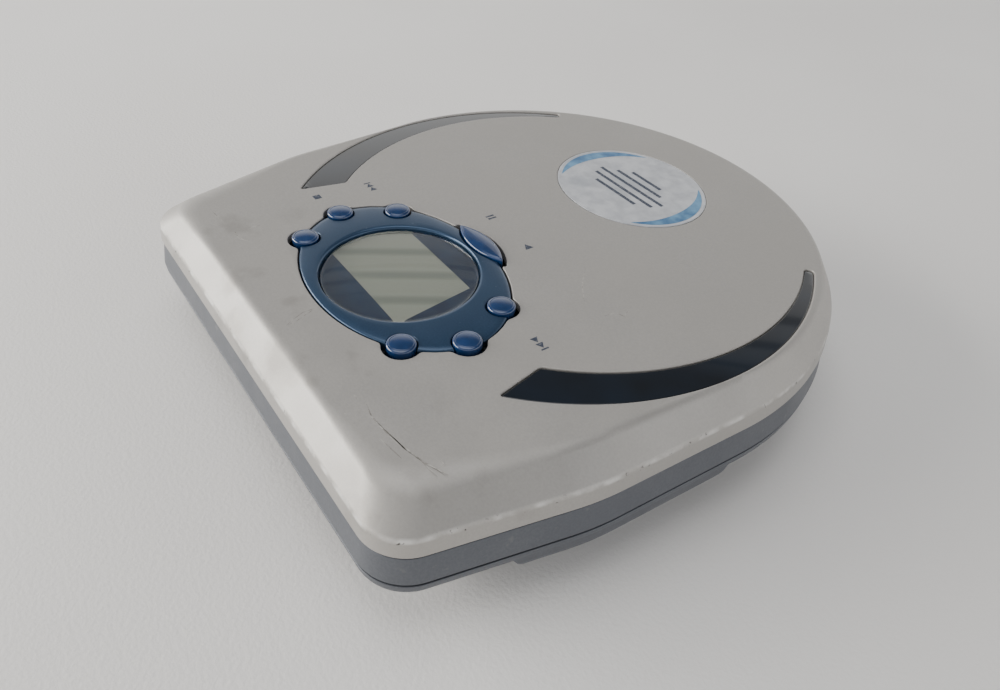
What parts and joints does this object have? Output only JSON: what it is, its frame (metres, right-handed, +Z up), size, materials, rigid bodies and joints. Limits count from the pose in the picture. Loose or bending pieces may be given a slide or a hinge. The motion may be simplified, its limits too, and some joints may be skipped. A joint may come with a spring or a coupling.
{
  "type": "portable cd player",
  "caption": "Portable disc player: hinged painted lid with a round display, ring of push buttons and curved inlays, over a disc well, pickup drive and battery bay.",
  "frame": {"origin": "middle of the bounding box, on the surface the feet stand on", "axes": "+X to the user's right, +Y to the straight rear with the hinge, +Z up"},
  "size_m": [0.133, 0.1428, 0.031],
  "materials": {
    "silver_paint": "fine-textured silver paint, satin",
    "grey_paint": "gunmetal grey paint, satin",
    "blue_metallic": "satin metallic blue",
    "blue_gloss": "glossy translucent blue",
    "blue_mask": "dark blue printed mask",
    "smoked_blue": "smoked blue, polished",
    "black_plastic": "moulded black, fine grain",
    "clear_window": "clear polished",
    "display_glass": "grey-green liquid crystal display",
    "foil_badge": "brushed foil",
    "steel": "bright",
    "sheet_steel": "zinc-plated sheet",
    "circuit_board": "green solder mask",
    "rubber": "matte black",
    "white_plastic": "moulded acetal",
    "cell_sleeve": "printed-free film sleeve"
  },
  "bodies": {
    "base": {"mid_case": "grey_paint", "well_tray": "black_plastic", "bottom_cover": "grey_paint", "foot_1": "rubber", "foot_2": "rubber", "foot_3": "rubber", "foot_4": "rubber", "screw_1": "steel", "screw_2": "steel", "screw_3": "steel", "screw_4": "steel", "aa_cell_1": "cell_sleeve", "aa_cell_2": "cell_sleeve", "battery_contact_outer": "steel", "battery_contact_inner": "steel", "main_board": "circuit_board", "signal_chip": "black_plastic", "mech_chassis": "sheet_steel", "damper_1": "rubber", "damper_2": "rubber", "damper_3": "rubber", "spindle_motor": "steel", "guide_rod_left": "steel", "guide_rod_right": "steel", "sled_motor": "steel", "headphone_jack": "black_plastic", "line_out_jack": "black_plastic", "dc_in_jack": "black_plastic"},
    "lid": {"lid_shell": "silver_paint", "lid_liner": "black_plastic", "control_bezel": "blue_metallic", "lcd_window": "clear_window", "lcd_mask": "blue_mask", "lcd_panel": "display_glass", "display_board": "circuit_board", "crescent_right": "smoked_blue", "crescent_left": "smoked_blue", "lid_badge": "foil_badge", "latch_hook": "black_plastic", "hinge_pin_left": "steel", "hinge_pin_right": "steel"},
    "button_stop": {"button_stop": "blue_gloss"},
    "button_repeat": {"button_repeat": "blue_gloss"},
    "button_next": {"button_next": "blue_gloss"},
    "button_mode": {"button_mode": "blue_gloss"},
    "button_program": {"button_program": "blue_gloss"},
    "button_previous": {"button_previous": "blue_gloss"},
    "button_play": {"button_play": "blue_gloss"},
    "turntable": {"turntable_hub": "white_plastic", "turntable_mat": "rubber"},
    "sled": {"pickup_sled": "black_plastic", "pickup_lens": "clear_window"},
    "feed_gear": {"feed_gear": "white_plastic"},
    "motor_pinion": {"motor_pinion": "white_plastic"},
    "volume_wheel": {"volume_wheel": "black_plastic"},
    "hold_switch": {"hold_switch": "black_plastic"},
    "open_button": {"open_button": "black_plastic"},
    "battery_door": {"battery_door": "grey_paint"}
  },
  "joints": [
    {"name": "lid_hinge", "type": "hinge", "parent": "base", "child": "lid", "pos_m": [0, 0.0672, 0.0245], "axis": [-1, 0, 0], "range_deg": [0, 75]},
    {"name": "press_stop", "type": "slide", "parent": "lid", "child": "button_stop", "axis": [0, 0, -1], "range_m": [0, 0.0006], "stiffness_N_per_m": 800, "springref_m": -0.0002},
    {"name": "press_repeat", "type": "slide", "parent": "lid", "child": "button_repeat", "axis": [0, 0, -1], "range_m": [0, 0.0006], "stiffness_N_per_m": 800, "springref_m": -0.0002},
    {"name": "press_next", "type": "slide", "parent": "lid", "child": "button_next", "axis": [0, 0, -1], "range_m": [0, 0.0006], "stiffness_N_per_m": 800, "springref_m": -0.0002},
    {"name": "press_mode", "type": "slide", "parent": "lid", "child": "button_mode", "axis": [0, 0, -1], "range_m": [0, 0.0006], "stiffness_N_per_m": 800, "springref_m": -0.0002},
    {"name": "press_program", "type": "slide", "parent": "lid", "child": "button_program", "axis": [0, 0, -1], "range_m": [0, 0.0006], "stiffness_N_per_m": 800, "springref_m": -0.0002},
    {"name": "press_previous", "type": "slide", "parent": "lid", "child": "button_previous", "axis": [0, 0, -1], "range_m": [0, 0.0006], "stiffness_N_per_m": 800, "springref_m": -0.0002},
    {"name": "press_play", "type": "slide", "parent": "lid", "child": "button_play", "axis": [0, 0, -1], "range_m": [0, 0.0006], "stiffness_N_per_m": 800, "springref_m": -0.0002},
    {"name": "turntable_spin", "type": "hinge", "parent": "base", "child": "turntable", "pos_m": [0, -0.0048, 0.019], "axis": [0, 0, 1], "continuous": true},
    {"name": "sled_slide", "type": "slide", "parent": "base", "child": "sled", "axis": [0, -1, 0], "range_m": [0, 0.0347]},
    {"name": "feed_gear_turn", "type": "hinge", "parent": "base", "child": "feed_gear", "pos_m": [0.0225, -0.0278, 0.012], "axis": [0, 0, 1], "range_deg": [0, 570]},
    {"name": "motor_pinion_turn", "type": "hinge", "parent": "base", "child": "motor_pinion", "pos_m": [0.0345, -0.0278, 0.012], "axis": [0, 0, 1], "range_deg": [-1706, 0]},
    {"name": "volume_turn", "type": "hinge", "parent": "base", "child": "volume_wheel", "pos_m": [0.05747, 0.0232, 0.016], "axis": [0, 0, 1], "range_deg": [-135, 135]},
    {"name": "hold_slide", "type": "slide", "parent": "base", "child": "hold_switch", "axis": [0, 1, 0], "range_m": [-0.0015, 0.0015]},
    {"name": "open_press", "type": "slide", "parent": "base", "child": "open_button", "axis": [0, 1, 0], "range_m": [0, 0.0015], "stiffness_N_per_m": 400, "springref_m": -0.0004},
    {"name": "door_slide", "type": "slide", "parent": "base", "child": "battery_door", "axis": [-1, 0, 0], "range_m": [0, 0.045]}
  ],
  "couplings": [
    {"joint": "feed_gear_turn", "follows": "sled_slide", "rad_per_m": 285.71},
    {"joint": "motor_pinion_turn", "follows": "sled_slide", "rad_per_m": -857.14}
  ]
}
